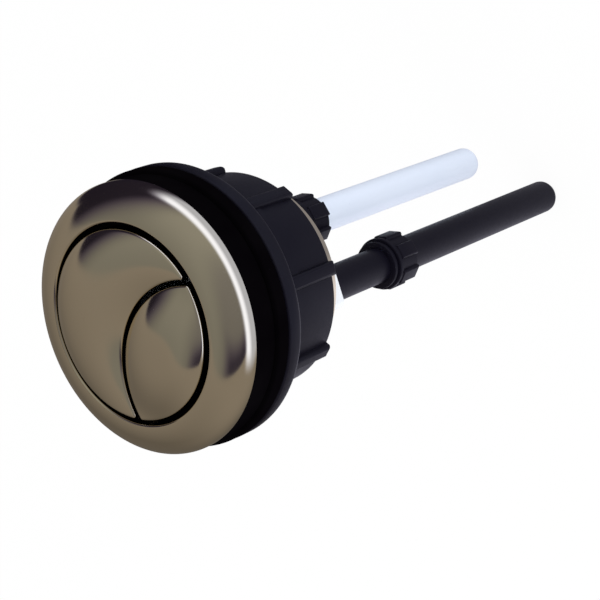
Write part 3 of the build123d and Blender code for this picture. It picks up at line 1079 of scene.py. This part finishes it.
    def tent_glow(self, tree):
        """Grey glow, darker past a straight edge, with a bright window low on one side and a lit floor."""
        tree.nodes.clear()
        toward = tree.nodes.new("ShaderNodeVectorMath")
        toward.operation = "NORMALIZE"
        tree.links.new(tree.nodes.new("ShaderNodeTexCoord").outputs["Object"], toward.inputs[0])

        def along(direction):
            node = tree.nodes.new("ShaderNodeVectorMath")
            node.operation = "DOT_PRODUCT"
            tree.links.new(toward.outputs[0], node.inputs[0])
            node.inputs[1].default_value = direction
            return node.outputs["Value"]

        def step(value, start, full, most=1):
            return ranged(tree, value, start, full, 0, most, smooth_step=True)

        side, height = along(self.ALONG_EDGE), along((0, 0, 1))
        leaned = times(tree, sums(tree, "MAXIMUM", height, self.LEAN_FROM), self.EDGE_LEAN)
        past = sums(tree, "ADD", along(self.ACROSS_EDGE), leaned)
        beyond = step(past, *self.EDGE_SPAN)
        corner = times(tree, step(side, *self.CORNER_SHADE), step(past, *self.CORNER_SPAN))
        left = sums(tree, "ADD", step(side, *self.LEFT_SHADE), corner)
        dark = times(tree, beyond, sums(tree, "MAXIMUM", step(side, *self.RIGHT_SHADE), left))
        fade = times(tree, step(side, *self.FADE_SPAN), ranged(tree, past, *self.FADE_LEVELS))
        climb = ranged(tree, past, *self.CLIMB_LEVELS)
        level = times(tree, sums(tree, "SUBTRACT", climb, fade), sums(tree, "SUBTRACT", 1, dark))
        toward_window = step(along(self.TO_WINDOW), *self.WINDOW_SPAN)
        bright = times(tree, step(height, *self.WINDOW_HEIGHT), toward_window)
        window = ranged(tree, height, *self.WINDOW_LEVELS)
        under = step(height, *self.FLOOR_HEIGHT)
        lit = ranged(tree, along(self.TO_LIT_FLOOR), *self.FLOOR_LEVELS, smooth_step=True)
        tone = mixed(tree, beyond, self.TONE_NEAR, self.TONE_FAR)
        tone = mixed(tree, times(tree, dark, dark), tone, self.TONE_SHADE)
        tone = mixed(tree, bright, tone, self.TONE_WINDOW)
        tone = mixed(tree, under, tone, self.TONE_FLOOR)
        strength = ranged(tree, bright, 0, 1, level, window)
        strength = ranged(tree, under, 0, 1, strength, lit)
        glow = tree.nodes.new("ShaderNodeEmission")
        tree.links.new(tone, glow.inputs["Color"])
        tree.links.new(strength, glow.inputs["Strength"])
        tree.links.new(glow.outputs[0], tree.nodes.new("ShaderNodeOutputMaterial").inputs["Surface"])


PIECES = (
    BUTTON_OT_bezel, BUTTON_OT_caps, BUTTON_OT_washers, BUTTON_OT_fixing_nut, BUTTON_OT_push_rods,
    BUTTON_OT_lock_pieces, BUTTON_OT_springs, BUTTON_OT_inner_parts, BUTTON_OT_stage)


class BUTTON_PT_pieces(bpy.types.Panel):
    """Lists the pieces of the push button"""
    bl_idname = "BUTTON_PT_pieces"
    bl_label = "Push Button"
    bl_space_type = "VIEW_3D"
    bl_region_type = "UI"
    bl_category = "Push Button"

    def draw(self, context):
        for operator in PIECES:
            self.layout.operator(operator.bl_idname)
        for group in (context.scene.button_sizes, context.scene.fixing_sizes, context.scene.button_colours):
            box = self.layout.box()
            for label in group.bl_rna.properties.keys():
                if label not in ("rna_type", "name"):
                    box.prop(group, label)


CLASSES = (ButtonSizes, FixingSizes, ButtonColours, *PIECES, BUTTON_PT_pieces)


def register():
    """Adds the classes and the scene's settings."""
    for item in CLASSES:
        bpy.utils.register_class(item)
    bpy.types.Scene.button_sizes = bpy.props.PointerProperty(type=ButtonSizes)
    bpy.types.Scene.fixing_sizes = bpy.props.PointerProperty(type=FixingSizes)
    bpy.types.Scene.button_colours = bpy.props.PointerProperty(type=ButtonColours)


def unregister():
    """Takes the settings and the classes away again."""
    del bpy.types.Scene.button_sizes
    del bpy.types.Scene.fixing_sizes
    del bpy.types.Scene.button_colours
    for item in reversed(CLASSES):
        bpy.utils.unregister_class(item)


def main():
    """Makes every piece and the stage."""
    register()
    bpy.ops.button.bezel()
    bpy.ops.button.caps()
    bpy.ops.button.washers()
    bpy.ops.button.fixing_nut()
    bpy.ops.button.push_rods()
    bpy.ops.button.lock_pieces()
    bpy.ops.button.springs()
    bpy.ops.button.inner_parts()
    bpy.ops.button.stage()
    bpy.context.view_layer.update()


if __name__ == "__main__":
    main()
